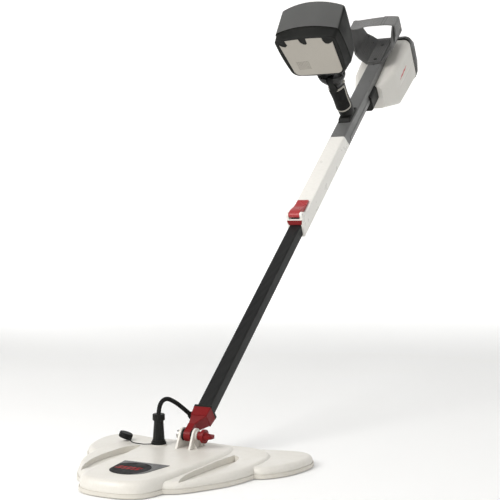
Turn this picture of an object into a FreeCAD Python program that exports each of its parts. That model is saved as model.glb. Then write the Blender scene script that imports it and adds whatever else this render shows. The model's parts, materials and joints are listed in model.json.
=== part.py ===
import FreeCAD, Part
import math
import os

# Deep-search metal detector, in millimetres: a lobed search coil flat on the ground, a square telescopic
# shaft, a pistol grip with a hooded display on top, an arm cuff, and a system box under the shaft's rear end.
#
# Everything is drawn on the ground plane first, with x towards the coil's nose, y to the operator's left and
# z up, and zero on the ground under the coil's pivot.  On export it moves so that zero is the grip's centre.

V = FreeCAD.Vector

# ---- driving dimensions -------------------------------------------------------------------------------

# shaft line and pivot
SHAFT_ANGLE = 38.48            # degrees above the ground
PIVOT_Z = 48.0
GRIP_CENTRE = V(-753, 0, 729)

# search coil
NOSE_TOP = 27.0
MID_TOP = 25.0                 # at MID_REAR_X, falling towards the front
MID_FALL = 0.022
MID_REAR_X = -66.0
WING_TOP = 19.5
SKID_UNDER = 1.6               # the cover's underside, above the ground the pads stand on
SKID_FLOOR = 4.0               # the cover's inside, on which the coil shell stands
SKID_RIM = 8.2
SHELL_ROOF = 4.0
SHELL_WALL = 7.0               # at the foot of the rounded rim
GROOVE_FLOOR = 12.0

# clevis
EAR_IN = 11.0
EAR_OUT = 15.0
EAR_R = 13.0
BOLT_R = 4.0
RUN = 0.05                     # radial clearance of a running fit
TONGUE_HALF = 6.6

# coil cable
BOOT_X = 8.0
BOOT_Y = -58.5
BOOT_BASE_Z = 28.5
BOOT_NECK_Z = 70.5
BOOT_TOP_Z = 82.5
CABLE_D = 8.0
TETHER_D = 1.8

# tubes: half widths across y, and low and high faces along the shaft's normal n
LOWER_Y = 13.4
LOWER_N = (-23.4, 2.4)
BORE_Y = 13.7
BORE_N = (-23.7, 2.7)
SPIGOT_Y = 16.2
SPIGOT_N = (-25.1, 10.2)
SLEEVE_Y = 18.9
SLEEVE_N = (-26.4, 12.8)
UPPER_Y = 18.7
UPPER_N = (-26.2, 12.8)
DUCT_Y = 11.5
DUCT_N = (5.2, 8.4)

# stations along the shaft, measured up it from the pivot
LOWER_FROM = 50.0
LOWER_TO = 1010.0
SLEEVE_FROM = 601.5
SPIGOT_FROM = 640.0
SLEEVE_TO = 928.0
SLEEVE_SLANT = 18.0            # how much longer the sleeve is underneath, at its upper end
MOUTH_SLANT = 8.0
UPPER_TO = 1402.0
LEVER_U = 611.0
LEVER_N = 20.5
GRIP_FOOT = (990.0, 1052.0)
CUFF = (1271.0, 1400.0)
BOX_FRONT = 1190.0
BOX_SEAM = 1412.0
BOX_REAR = 1482.0

# grip, neck and display, as directions in the xz plane
GRIP_DIR = V(0.78, 0, 0.626)
NECK_FROM = 53.0               # above the grip's centre, along the grip
SCREEN_DIR = V(-0.545, 0, 0.838)
PANEL_CENTRE = V(-568, 0, 797)
KNUCKLE_Z = 67.3               # along the neck
KNUCKLE_R = 13.0


# ---- frames -------------------------------------------------------------------------------------------

def frame_along(origin, z_dir):
    """Local z runs along z_dir (in the xz plane), local y is the ground frame's y."""
    z = V(z_dir).normalize()
    x = V(z.z, 0, -z.x)
    return FreeCAD.Placement(origin, FreeCAD.Rotation(x, V(0, 1, 0), z, "ZYX"))


ANGLE = math.radians(SHAFT_ANGLE)
SHAFT_DIR = V(-math.cos(ANGLE), 0, math.sin(ANGLE))
PIVOT = V(0, 0, PIVOT_Z)
SHAFT = frame_along(PIVOT, SHAFT_DIR)          # local: (n, y, u)
GRIP = frame_along(GRIP_CENTRE, GRIP_DIR)      # local: (front, y, up the grip)
NECK = frame_along(GRIP_CENTRE + V(GRIP_DIR).normalize() * NECK_FROM, GRIP_DIR)
SCREEN = frame_along(PANEL_CENTRE, SCREEN_DIR)  # local: (up the panel, y, towards the operator)
GROUND = FreeCAD.Placement()


def placed(shape, frame):
    moved = shape.copy()
    moved.Placement = frame.multiply(moved.Placement)
    return moved


def at(frame, x, y, z):
    return frame.multVec(V(x, y, z))


# ---- small builders -----------------------------------------------------------------------------------

def box(x, y, z):
    """A box from three (low, high) pairs."""
    return Part.makeBox(x[1] - x[0], y[1] - y[0], z[1] - z[0], V(x[0], y[0], z[0]))


def half(y):
    """The pair that spans a width centred on zero."""
    return (-y, y)


def soft_box(x, y, z, r, along="z"):
    """A box whose edges along one axis are rounded."""
    solid = box(x, y, z)
    axis = {"x": V(1, 0, 0), "y": V(0, 1, 0), "z": V(0, 0, 1)}[along]
    edges = [e for e in solid.Edges if abs(abs(e.tangentAt(e.FirstParameter).dot(axis)) - 1) < 1e-6]
    return solid.makeFillet(r, edges)


def rod(radius, start, end):
    span = end - start
    return Part.makeCylinder(radius, span.Length, start, span)


def ring(outer, inner, start, end):
    return rod(outer, start, end).cut(rod(inner, start, end))


def cone(r0, r1, start, end):
    span = end - start
    return Part.makeCone(r0, r1, span.Length, start, span)


def wire_prism(wire, span):
    return Part.Face(wire).extrude(span)


def poly_xz(points, y):
    """A polygon of (x, z) points, extruded from y[0] to y[1]."""
    corners = [V(a, y[0], b) for a, b in points]
    return wire_prism(Part.makePolygon(corners + corners[:1]), V(0, y[1] - y[0], 0))


def poly_xy(points, z):
    corners = [V(a, b, z[0]) for a, b in points]
    return wire_prism(Part.makePolygon(corners + corners[:1]), V(0, 0, z[1] - z[0]))


def poly_yz(points, x):
    corners = [V(x[0], a, b) for a, b in points]
    return wire_prism(Part.makePolygon(corners + corners[:1]), V(x[1] - x[0], 0, 0))


def fuse(shapes):
    solid = shapes[0].multiFuse(shapes[1:])
    return solid.removeSplitter()


def spline_edge(points):
    curve = Part.BSplineCurve()
    curve.interpolate(Points=points)
    return curve.toShape()


def edges_on_plane(solid, height):
    """The edges that lie in the plane z = height."""
    return [e for e in solid.Edges if all(abs(v.Point.z - height) < 1e-4 for v in e.Vertexes)
            and abs(e.CenterOfMass.z - height) < 1e-4]


def rounded_wire(y, n, r, u):
    """A rounded rectangle in the shaft's cross-section at station u; y is a half width, n a pair."""
    flat = soft_box(n, half(y), (u, u + 1), r)
    bottom = [f for f in flat.Faces if abs(f.CenterOfMass.z - u) < 1e-6][0]
    return bottom.OuterWire


def ellipse_wire(a, b, z, x=0.0):
    major, minor = (a, b) if a >= b else (b, a)
    curve = Part.Ellipse(V(0, 0, 0), major, minor)
    edge = curve.toShape()
    if a < b:
        edge.rotate(V(0, 0, 0), V(0, 0, 1), 90)
    edge.translate(V(x, 0, z))
    return Part.Wire([edge])


def teardrop(centre, radius, front, rear):
    """An xz outline: the circle about centre, joined by tangent lines to two lower points (x, z)."""
    def tangent(point, side):
        dx, dz = point[0] - centre[0], point[1] - centre[1]
        distance = math.hypot(dx, dz)
        spread = math.acos(radius / distance)
        angle = math.atan2(dz, dx) + side * spread
        return V(centre[0] + radius * math.cos(angle), 0, centre[1] + radius * math.sin(angle))
    a = tangent(front, 1)
    b = tangent(rear, -1)
    f = V(front[0], 0, front[1])
    r = V(rear[0], 0, rear[1])
    top = V(centre[0], 0, centre[1] + radius)
    return Part.Wire([Part.makeLine(f, a), Part.Arc(a, top, b).toShape(), Part.makeLine(b, r), Part.makeLine(r, f)])


def across(wire, y):
    """A wire of the xz plane, extruded from y[0] to y[1]."""
    return wire_prism(wire, V(0, y[1] - y[0], 0)).translated(V(0, y[0], 0))


# ---- cords --------------------------------------------------------------------------------------------

def cord_tube(name, route, diameter):
    """A tube along straight runs joined by tangent arcs, each as large as its two runs allow."""
    edges = []
    start = route[0]
    for before, corner, after in zip(route, route[1:], route[2:]):
        run_in = corner - before
        run_out = after - corner
        turn = run_in.getAngle(run_out)
        reach = 0.45 * min(run_in.Length, run_out.Length)
        radius = reach / math.tan(turn / 2)
        u = V(run_in).normalize()
        w = V(run_out).normalize()
        first = corner - u * reach
        last = corner + w * reach
        inward = (w - u).normalize()
        middle = corner + inward * (radius / math.cos(turn / 2) - radius)
        edges.append(Part.makeLine(start, first))
        edges.append(Part.Arc(first, middle, last).toShape())
        start = last
        print(f"{name}: turn {math.degrees(turn):.0f} degrees, radius {radius:.1f} mm")
    edges.append(Part.makeLine(start, route[-1]))
    path = Part.Wire(edges)
    section = Part.Wire([Part.makeCircle(diameter / 2, route[0], route[1] - route[0])])
    tube = path.makePipeShell([section], True, True)
    ideal = math.pi * diameter ** 2 / 4 * path.Length
    print(f"{name}: length {path.Length:.1f} mm, volume {tube.Volume:.0f} of {ideal:.0f} mm3")
    return tube


# ---- export -------------------------------------------------------------------------------------------

os.makedirs("parts", exist_ok=True)


def keep(name, shape, frame=GROUND, pieces=1):
    """Move a shape to its place, with zero at the grip's centre, and write it out."""
    part = placed(shape, frame)
    part.translate(V(0, 0, 0) - GRIP_CENTRE)
    solids = part.Solids
    if not part.isValid() or len(solids) != pieces:
        print("CHECK", name, "valid", part.isValid(), "solids", len(solids))
    whole = solids[0] if pieces == 1 else Part.makeCompound(solids)
    whole.exportStep(f"parts/{name}.step")


# ---- search coil --------------------------------------------------------------------------------------

# half outlines of the three stacked lobes, from the front of the centre line round to its rear
NOSE_HALF = [(266, 0), (265, 20), (261, 38), (252, 54), (235, 65), (208, 71), (168, 76), (110, 80),
             (50, 84), (-10, 82), (-40, 68), (-53, 38), (-56, 0)]
MID_HALF = [(206, 0), (210, 34), (213, 64), (206, 84), (189, 103), (163, 120), (134, 137), (98, 150),
            (62, 156), (20, 157), (-20, 149), (-48, 127), (-59, 92), (-60, 50), (-62, 24), (-63, 0)]
WING_HALF = [(62, 0), (63, 60), (63, 120), (63, 154), (60, 168), (47, 183), (24, 197), (-6, 207),
             (-38, 212), (-66, 208), (-83, 195), (-89, 174), (-86, 148), (-78, 118), (-71, 92), (-68, 60),
             (-70, 28), (-71, 0)]
GROOVE_IN = [(196, 92), (152, 82), (105, 84), (50, 88), (10, 94)]
GROOVE_OUT = [(10, 94), (20, 107), (58, 117), (110, 119), (156, 110), (196, 92)]


def lobe(half_outline, inset, z):
    """A smooth prism through an outline and its mirror image, drawn inset inside it."""
    left = [V(x, y, 0) for x, y in half_outline]
    right = [V(p.x, -p.y, 0) for p in left[-2:0:-1]]
    loop = left + right
    moved = []
    for before, point, after in zip(loop[-1:] + loop[:-1], loop, loop[1:] + loop[:1]):
        along = (after - before).normalize()
        moved.append(point + V(-along.y, along.x, 0) * inset + V(0, 0, z[0]))
    curve = Part.BSplineCurve()
    curve.interpolate(Points=moved, PeriodicFlag=True)
    return wire_prism(Part.Wire([curve.toShape()]), V(0, 0, z[1] - z[0]))


def under_fall(drop):
    """The space under the middle lobe's top, which falls gently towards the front."""
    reach = 400
    return poly_xz([(MID_REAR_X - reach, MID_TOP - drop + MID_FALL * reach),
                    (MID_REAR_X + reach, MID_TOP - drop - MID_FALL * reach),
                    (MID_REAR_X + reach, 0), (MID_REAR_X - reach, 0)], half(reach))


def rim_edges(solid):
    """The edges all round the top face."""
    top = max(solid.Faces, key=lambda face: face.CenterOfMass.z)
    return top.Edges


def rounded(solid, r):
    return solid.makeFillet(r, rim_edges(solid))


def groove(side, grow, floor):
    """The crescent hollow beside the nose, as the space above its floor."""
    inner = [V(x, side * (y - grow), floor) for x, y in GROOVE_IN]
    outer = [V(x, side * (y + grow), floor) for x, y in GROOVE_OUT]
    inner[0] = outer[-1] = V(GROOVE_IN[0][0] + grow, side * GROOVE_IN[0][1], floor)
    inner[-1] = outer[0] = V(GROOVE_IN[-1][0] - grow, side * GROOVE_IN[-1][1], floor)
    wire = Part.Wire([spline_edge(inner), spline_edge(outer)])
    return wire_prism(wire, V(0, 0, 40))


def lobes(inset, low, high):
    return [lobe(outline, inset, (low, high)) for outline in (NOSE_HALF, MID_HALF, WING_HALF)]


def coil_shell():
    middle = lobe(MID_HALF, 0, (SKID_FLOOR, 60)).common(under_fall(0))
    outside = fuse([rounded(lobe(NOSE_HALF, 0, (SKID_FLOOR, NOSE_TOP)), 11), rounded(middle, 9),
                    rounded(lobe(WING_HALF, 0, (SKID_FLOOR, WING_TOP)), 9)])
    inside = fuse([lobe(NOSE_HALF, SHELL_WALL, (SKID_FLOOR, NOSE_TOP - SHELL_ROOF)),
                   lobe(MID_HALF, SHELL_WALL, (SKID_FLOOR, 60)).common(under_fall(SHELL_ROOF)),
                   lobe(WING_HALF, SHELL_WALL, (SKID_FLOOR, WING_TOP - SHELL_ROOF))])
    for side in (-1, 1):
        outside = outside.cut(groove(side, 0, GROOVE_FLOOR))
        inside = inside.cut(groove(side, 3, GROOVE_FLOOR - 3))
    shell = outside.cut(inside)
    ear = teardrop((0, PIVOT_Z), EAR_R, (26, NOSE_TOP - 2), (-30, NOSE_TOP - 2))
    extras = []
    for side in (-1, 1):
        faces = sorted((side * EAR_IN, side * EAR_OUT))
        extras.append(across(ear, faces))
        extras.append(rod(9, V(0, side * EAR_OUT, PIVOT_Z), V(0, side * (EAR_OUT + 3.5), PIVOT_Z)))
        for x in (-19, -10, 10):
            gusset = [(side * 14, NOSE_TOP - 2), (side * 23, NOSE_TOP - 2), (side * 14, 40)]
            extras.append(poly_yz(gusset, (x - 1.2, x + 1.2)))
    extras.append(rod(15.5, V(BOOT_X, BOOT_Y, NOSE_TOP - 2), V(BOOT_X, BOOT_Y, BOOT_BASE_Z)))
    shell = fuse([shell] + extras)
    return shell.cut(rod(BOLT_R, V(0, -30, PIVOT_Z), V(0, 30, PIVOT_Z)))


def skid_cover():
    rim = fuse(lobes(-1.8, SKID_UNDER, SKID_RIM))
    well = fuse(lobes(-0.3, SKID_FLOOR, SKID_RIM))
    pads = [lobe(NOSE_HALF, 7, (0, SKID_UNDER)).common(box((150, 300), half(80), (0, SKID_UNDER)))]
    for side in (-1, 1):
        reach = sorted((side * 150, side * 230))
        pads.append(lobe(WING_HALF, 8, (0, SKID_UNDER)).common(box((-100, 100), reach, (0, SKID_UNDER))))
    return fuse([rim.cut(well)] + pads)


def winding(y, z):
    """One of the two overlapping oval loops of wire."""
    outer = Part.Face(ellipse_wire(118, 50, z[0]))
    inner = Part.Face(ellipse_wire(110, 42, z[0]))
    loop = outer.cut(inner).extrude(V(0, 0, z[1] - z[0]))
    return loop.translated(V(66, y, 0))


keep("coil_shell", coil_shell())
keep("coil_skid_cover", skid_cover())
keep("transmit_winding", winding(-46, (4.4, 6.5)))
keep("receive_winding", winding(46, (6.8, 8.9)))

BADGE_REAR = 141.0
badge_side = [V(193, 35, 0), V(215, 22, 0), V(222, 0, 0), V(215, -22, 0), V(193, -35, 0)]
badge_wire = Part.Wire([Part.makeLine(V(BADGE_REAR, -43, 0), V(BADGE_REAR, 43, 0)),
                        Part.makeLine(V(BADGE_REAR, 43, 0), badge_side[0]), spline_edge(badge_side),
                        Part.makeLine(badge_side[-1], V(BADGE_REAR, -43, 0))])
keep("coil_badge", wire_prism(badge_wire, V(0, 0, 0.8)).translated(V(0, 0, NOSE_TOP)))

# clevis bolt, washers and wing knob
BOSS_FACE = EAR_OUT + 3.5
keep("pivot_bolt", fuse([rod(BOLT_R, V(0, -BOSS_FACE, PIVOT_Z), V(0, 36, PIVOT_Z)),
                         rod(7.5, V(0, -BOSS_FACE - 4.5, PIVOT_Z), V(0, -BOSS_FACE, PIVOT_Z))]))
washers = []
for side in (-1, 1):
    washers.append(ring(10.5, BOLT_R, V(0, side * (TONGUE_HALF + 0.1), PIVOT_Z), V(0, side * EAR_IN, PIVOT_Z)))
keep("pivot_washers", Part.makeCompound(washers), pieces=2)

KNOB_FACE = EAR_OUT + 4.0
KNOB_RIM = 32.5
KNOB_TIP = 47.0
blade = [(-10.5, KNOB_RIM - 1), (10.5, KNOB_RIM - 1), (8.5, KNOB_TIP - 3), (5.5, KNOB_TIP),
         (-5.5, KNOB_TIP), (-8.5, KNOB_TIP - 3)]
wing = poly_xy(blade, (PIVOT_Z - 3, PIVOT_Z + 3))
hub = fuse([rod(7.5, V(0, KNOB_FACE, PIVOT_Z), V(0, 27, PIVOT_Z)),
            rod(12.2, V(0, 27, PIVOT_Z), V(0, KNOB_RIM, PIVOT_Z)),
            cone(8.5, 5, V(0, KNOB_RIM, PIVOT_Z), V(0, KNOB_RIM + 7, PIVOT_Z)),
            wing])
keep("wing_knob", hub.cut(rod(BOLT_R + RUN, V(0, 10, PIVOT_Z), V(0, 36.1, PIVOT_Z))))

# cable boot, coupling ring, and the dust cap that hangs beside it on its tether
def on_boot(z):
    return V(BOOT_X, BOOT_Y, z)


boot = [cone(10, 8, on_boot(BOOT_BASE_Z + 7), on_boot(BOOT_NECK_Z)),
        rod(13.5, on_boot(BOOT_BASE_Z), on_boot(BOOT_BASE_Z + 4)),
        rod(12, on_boot(BOOT_BASE_Z + 4), on_boot(BOOT_BASE_Z + 7))]
for step in range(6):
    turn = math.radians(60 * step)
    spoke = V(math.cos(turn), math.sin(turn), 0)
    boot.append(cone(1.6, 1.2, on_boot(BOOT_BASE_Z + 7) + spoke * 9, on_boot(BOOT_NECK_Z) + spoke * 7.2))
keep("coil_boot", fuse(boot))

coupling = rod(11, on_boot(BOOT_NECK_Z), on_boot(BOOT_TOP_Z))
coupling = coupling.makeChamfer(1.2, coupling.Edges)
for step in range(16):
    turn = math.radians(22.5 * step)
    flute = V(11.5 * math.cos(turn), 11.5 * math.sin(turn), 0)
    coupling = coupling.cut(rod(1.1, on_boot(BOOT_NECK_Z - 1) + flute, on_boot(BOOT_TOP_Z + 1) + flute))
keep("coupling_ring", coupling)

CAP_AT = V(-10, -143, 25.0)
CAP_FRAME = FreeCAD.Placement(CAP_AT, FreeCAD.Rotation(V(0.88, 0.47, 0), -18))
cap = Part.makeCylinder(12.5, 10, V(0, 0, 3.5))
cap = cap.makeChamfer(1.0, cap.Edges).cut(Part.makeCylinder(10.3, 8, V(0, 0, 3.4)))
for step in range(20):
    turn = math.radians(18 * step)
    cap = cap.cut(Part.makeCylinder(0.8, 9, V(12.9 * math.cos(turn), 12.9 * math.sin(turn), 4.6)))
keep("dust_cap", cap, CAP_FRAME)

TETHER_ROUTE = [V(20.5, -63, 30.5), V(25, -75, 29.0), V(22, -91, 28.4), V(15, -106, 27.0), V(6, -119, 27.0),
                CAP_FRAME.multVec(V(7.6, 10.0, 8.0))]
print("tether meets the cap at", TETHER_ROUTE[-1])
keep("dust_cap_tether", cord_tube("tether", TETHER_ROUTE, TETHER_D))

CABLE_ROUTE = [V(8, -58.5, 82.5), V(7.5, -58, 99.0), V(-6, -52, 109.5), V(-22, -42, 100), V(-34, -33, 88),
               V(-44.5, -24.5, 76)]
keep("coil_cable", cord_tube("cable", CABLE_ROUTE, CABLE_D))

# ---- lower shaft --------------------------------------------------------------------------------------


def tube_section(y, n, r, u):
    return soft_box(n, half(y), u, r)


lower_outer = tube_section(LOWER_Y, LOWER_N, 3.2, (LOWER_FROM, LOWER_TO))
lower_hollow = tube_section(LOWER_Y - 1.8, (LOWER_N[0] + 1.8, LOWER_N[1] - 1.8), 1.6, (LOWER_FROM, LOWER_TO))
keep("lower_tube", lower_outer.cut(lower_hollow), SHAFT)

guide = fuse([tube_section(LOWER_Y - 1.9, (LOWER_N[0] + 1.9, LOWER_N[1] - 1.9), 1.5, (LOWER_TO - 25, LOWER_TO)),
              tube_section(LOWER_Y + 0.15, (LOWER_N[0] - 0.15, LOWER_N[1] + 0.15), 3.2, (LOWER_TO, LOWER_TO + 16))])
keep("tube_guide", guide.cut(rod(5, V(-10, 0, 900), V(-10, 0, 1100))), SHAFT)

# red bracket: a socket block round the tube, tapering to a tongue between the clevis ears
SOCKET = (44.0, 63.0)
block = Part.makeLoft([rounded_wire(16.2, (-25.5, 3.6), 2, SOCKET[0]),
                       rounded_wire(17.6, (-27, 4.4), 2, SOCKET[1])], True, True)
taper = Part.makeLoft([rounded_wire(TONGUE_HALF, (-10, 10.5), 2, 18),
                       rounded_wire(15.4, (-24.5, 2.8), 2, SOCKET[0])], True, True)
tongue = fuse([rod(11, V(0, -TONGUE_HALF, 0), V(0, TONGUE_HALF, 0)), box((-10, 10.5), half(TONGUE_HALF), (2, 18))])
bracket = fuse([block, taper, tongue]).cut(rod(BOLT_R + RUN, V(0, -20, 0), V(0, 20, 0)))
bracket = bracket.cut(tube_section(LOWER_Y + 0.05, (LOWER_N[0] - 0.05, LOWER_N[1] + 0.05), 3.2, (LOWER_FROM, 70)))
gland_in = SHAFT.inverse().multVec(CABLE_ROUTE[-1])
gland_dir = gland_in - SHAFT.inverse().multVec(CABLE_ROUTE[-2])
gland_dir.normalize()
gland_seat = gland_in + gland_dir * 17
bracket = bracket.cut(rod(6.1, gland_in, gland_seat))
keep("lower_bracket", bracket, SHAFT)
gland = fuse([cone(5.6, 7.2, gland_in, gland_in + gland_dir * 5), rod(6.0, gland_in + gland_dir * 5, gland_seat)])
gland = gland.cut(box((-60, 30), half(LOWER_Y + 0.1), (LOWER_FROM, 90)))
keep("cable_gland", gland, SHAFT)

COLLAR = (63.0, 67.5)
collar = tube_section(18.0, (-27.4, 4.8), 2.5, COLLAR)
keep("bracket_collar", collar.cut(tube_section(LOWER_Y + 0.05, (LOWER_N[0] - 0.05, LOWER_N[1] + 0.05), 3.2,
                                               (60, 70))), SHAFT)

# ---- upper shaft and its white sleeve -----------------------------------------------------------------


def below_slant(u_front, slant, n=(-60, 60)):
    """The space under a plane across the shaft that is u_front at the front face, higher underneath."""
    rise = slant / (UPPER_N[1] - UPPER_N[0])
    front = u_front - rise * (n[1] - UPPER_N[1])
    back = u_front + rise * (UPPER_N[1] - n[0])
    return poly_xz([(n[1], front), (n[0], back), (n[0], u_front - 900), (n[1], u_front - 900)], half(60))


spigot = tube_section(SPIGOT_Y, SPIGOT_N, 2.5, (SPIGOT_FROM, SLEEVE_TO + 60))
full = tube_section(UPPER_Y, UPPER_N, 3.5, (SLEEVE_TO - 30, UPPER_TO)).cut(below_slant(SLEEVE_TO + 0.2, SLEEVE_SLANT))
upper = fuse([spigot, full]).cut(tube_section(BORE_Y, BORE_N, 2.8, (600, UPPER_TO + 5)))
upper = upper.cut(box(DUCT_N, half(DUCT_Y), (600, 1390)))
CUFF_SCREWS = (1290.0, 1366.0)
CUFF_TRAVEL = 18.0             # to either side of where the cuff is set
for u in CUFF_SCREWS:
    upper = upper.cut(box((0, 20), half(2.7), (u - CUFF_TRAVEL - 3, u + CUFF_TRAVEL + 3)))
keep("upper_tube", upper, SHAFT)

sleeve = tube_section(SLEEVE_Y, SLEEVE_N, 3.0, (SLEEVE_FROM - 40, SLEEVE_TO + 60))
sleeve = sleeve.common(below_slant(SLEEVE_TO, SLEEVE_SLANT)).cut(below_slant(SLEEVE_FROM, -MOUTH_SLANT))
sleeve = sleeve.cut(tube_section(SPIGOT_Y + 0.05, (SPIGOT_N[0] - 0.05, SPIGOT_N[1] + 0.05), 2.5,
                                 (SPIGOT_FROM, SLEEVE_TO + 70)))
sleeve = sleeve.cut(tube_section(BORE_Y, BORE_N, 2.8, (500, SPIGOT_FROM + 1)))
liner_room = box((0, 10.1), half(BORE_Y), (SLEEVE_FROM - 10, SPIGOT_FROM))
sleeve = sleeve.cut(liner_room)
EAR_SPAN = (LEVER_U - 8, LEVER_U + 10)
for side in (-1, 1):
    faces = sorted((side * 13.4, side * SLEEVE_Y))
    lug = fuse([poly_xz([(11, EAR_SPAN[0]), (LEVER_N, EAR_SPAN[0] + 1.5), (LEVER_N, EAR_SPAN[1]), (11, EAR_SPAN[1] + 14)],
                        faces), rod(6.5, V(LEVER_N, faces[0], LEVER_U), V(LEVER_N, faces[1], LEVER_U))])
    sleeve = fuse([sleeve, lug])
LEVER_PIN_R = 2.0
lever_axis = (V(LEVER_N, -25, LEVER_U), V(LEVER_N, 25, LEVER_U))
sleeve = sleeve.cut(rod(LEVER_PIN_R, *lever_axis))
sleeve = sleeve.cut(box((11.9, 40), half(13.4), (EAR_SPAN[0] + 4, 670)))
PAD_U = (606.4, 617.6)
PAD_Y = 9.0
pad_window = box((9, 20), half(PAD_Y + 0.2), (PAD_U[0] - 0.2, PAD_U[1] + 0.2))
keep("shaft_sleeve", sleeve.cut(pad_window), SHAFT)

liner = box((BORE_N[1], 10.0), half(BORE_Y - 0.1), (SLEEVE_FROM - 0.3, SPIGOT_FROM - 0.2))
lip = Part.makeLoft([rounded_wire(13.6, (BORE_N[1], 4.4), 0.6, SLEEVE_FROM - 4.3),
                     rounded_wire(18.0, (BORE_N[1], 12.4), 0.6, SLEEVE_FROM - 0.3)], True, True)
lip = lip.cut(sleeve).cut(box((-10, 40), half(30), (SLEEVE_FROM - 0.3, SLEEVE_FROM + 10)))
liner = fuse([liner, lip])
keep("mouth_liner", liner.cut(box((0, 20), half(PAD_Y + 0.2), (PAD_U[0] - 0.2, PAD_U[1] + 0.2))), SHAFT)
keep("clamp_pad", soft_box((LOWER_N[1] + 0.1, LEVER_N - 6.4), half(PAD_Y), PAD_U, 1.0, "y"), SHAFT)
keep("lever_pin", rod(LEVER_PIN_R, V(LEVER_N, -SLEEVE_Y + 0.3, LEVER_U), V(LEVER_N, SLEEVE_Y - 0.3, LEVER_U)), SHAFT)

LEVER_Y = 13.0
outer_curve = [V(18.2, 0, 668), V(18.6, 0, 654), V(20.6, 0, 640), V(24.6, 0, 628), V(27.0, 0, 618)]
tip = V(13.6, 0, 668)
heel = V(13.6, 0, 626)
lever_wire = Part.Wire([Part.makeLine(heel, tip), Part.makeLine(tip, outer_curve[0]), spline_edge(outer_curve),
                        Part.makeLine(outer_curve[-1], V(26.4, 0, LEVER_U)),
                        Part.makeLine(V(26.4, 0, LEVER_U), V(15.2, 0, LEVER_U + 3)),
                        Part.makeLine(V(15.2, 0, LEVER_U + 3), heel)])
lever = fuse([across(lever_wire, half(LEVER_Y)), rod(6.0, V(LEVER_N, -LEVER_Y, LEVER_U), V(LEVER_N, LEVER_Y, LEVER_U))])
keep("lock_lever", lever.cut(rod(LEVER_PIN_R + RUN, *lever_axis)), SHAFT)

# side rails of the upper tube, and the plug in its end
rails = [soft_box((-22, -12), sorted((side * UPPER_Y, side * (UPPER_Y + 1.1))), (962, 1134), 0.5) for side in (-1, 1)]
keep("side_rails", Part.makeCompound(rails), SHAFT, pieces=2)
plug = fuse([tube_section(UPPER_Y, UPPER_N, 3.5, (UPPER_TO, UPPER_TO + 4)),
             tube_section(BORE_Y - 0.1, (BORE_N[0] + 0.1, BORE_N[1] - 0.1), 2.7, (UPPER_TO - 12, UPPER_TO))])
keep("tube_end_plug", plug, SHAFT)

# ---- grip ---------------------------------------------------------------------------------------------

GRIP_SECTIONS = [(-66, 22.0, 18.0), (-40, 21.6, 17.6), (-16, 22.6, 18.4), (6, 21.4, 17.8), (30, 22.2, 18.6),
                 (NECK_FROM, 20.6, 18.8)]
GRIP_SEAT = 21.0               # along the shaft's normal


def grip_body(grow):
    return Part.makeLoft([ellipse_wire(a + grow, b + grow, z) for z, a, b in GRIP_SECTIONS], True, False)


core = placed(grip_body(0).cut(rod(8, V(0, 0, -80), V(0, 0, 60))), GRIP)
core = core.cut(placed(box((-60, GRIP_SEAT), half(60), (900, 1120)), SHAFT))
TRIGGER_RELIEF = box((18.8, 40), half(8.6), (NECK_FROM - 5, NECK_FROM + 1))   # room for the pulled trigger
core = core.cut(placed(TRIGGER_RELIEF, GRIP))
keep("grip_half_left", core.common(box((-2000, 2000), (0, 200), (-100, 2000))))
keep("grip_half_right", core.common(box((-2000, 2000), (-200, 0), (-100, 2000))))

PAD_WINDOW = soft_box((7, 40), half(40), (-15, 46.5), 5, "y")
INLAY_WINDOW = soft_box((2.5, 40), half(40), (-19.5, 51), 7, "y")
pad = grip_body(1.6).common(PAD_WINDOW).cut(grip_body(0))
ribs = grip_body(2.6).cut(grip_body(0.9))
for step in range(15):
    z = -12 + 4 * step
    pad = pad.cut(ribs.common(box(half(60), half(60), (z - 0.6, z + 0.6))))
keep("grip_pad", pad, GRIP)
inlay = grip_body(1.0).common(INLAY_WINDOW.cut(PAD_WINDOW)).cut(grip_body(0))
keep("grip_inlay", inlay.cut(TRIGGER_RELIEF), GRIP)

foot = poly_xz([(UPPER_N[1], GRIP_FOOT[0]), (15, GRIP_FOOT[0]), (GRIP_SEAT, 998), (GRIP_SEAT, 1045),
                (17, GRIP_FOOT[1]), (UPPER_N[1], GRIP_FOOT[1])], half(15.4))
side_edges = [e for e in foot.Edges if abs(e.tangentAt(e.FirstParameter).y) < 1e-6 and e.CenterOfMass.x > 14]
keep("grip_foot", foot.makeFillet(2, side_edges), SHAFT)

# ---- neck, trigger and slide switch -------------------------------------------------------------------

neck = Part.makeLoft([ellipse_wire(20.4, 18.9, 0), ellipse_wire(21, 21.5, 9), ellipse_wire(24, 30, 22, 3),
                      ellipse_wire(21, 34, 36, 4)], True, False)
for side in (-1, 1):
    faces = sorted((side * 20.5, side * 32))
    neck = neck.fuse(box((-KNUCKLE_R, KNUCKLE_R), faces, (33, KNUCKLE_Z)))
    neck = neck.fuse(rod(KNUCKLE_R, V(0, faces[0], KNUCKLE_Z), V(0, faces[1], KNUCKLE_Z)))
KNUCKLE_PIN_R = 4.0
knuckle_pin = (V(0, -32, KNUCKLE_Z), V(0, 32, KNUCKLE_Z))
neck = neck.removeSplitter().cut(rod(KNUCKLE_PIN_R, *knuckle_pin))
TRIGGER_PIN = (18.0, 30.0)     # front, up the neck
trigger_room = box((9, 40), half(8.6), (-4, 38))
neck = neck.cut(trigger_room)
trigger_axis = (V(TRIGGER_PIN[0], -14, TRIGGER_PIN[1]), V(TRIGGER_PIN[0], 14, TRIGGER_PIN[1]))
for side in (-1, 1):
    faces = sorted((side * 8.6, side * 14))
    neck = neck.fuse(rod(5, V(TRIGGER_PIN[0], faces[0], TRIGGER_PIN[1]), V(TRIGGER_PIN[0], faces[1], TRIGGER_PIN[1])))
neck = neck.cut(rod(1.6, *trigger_axis))
SWITCH_Z = (2.0, 9.0)
SWITCH_TRAVEL = 6.0
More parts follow.
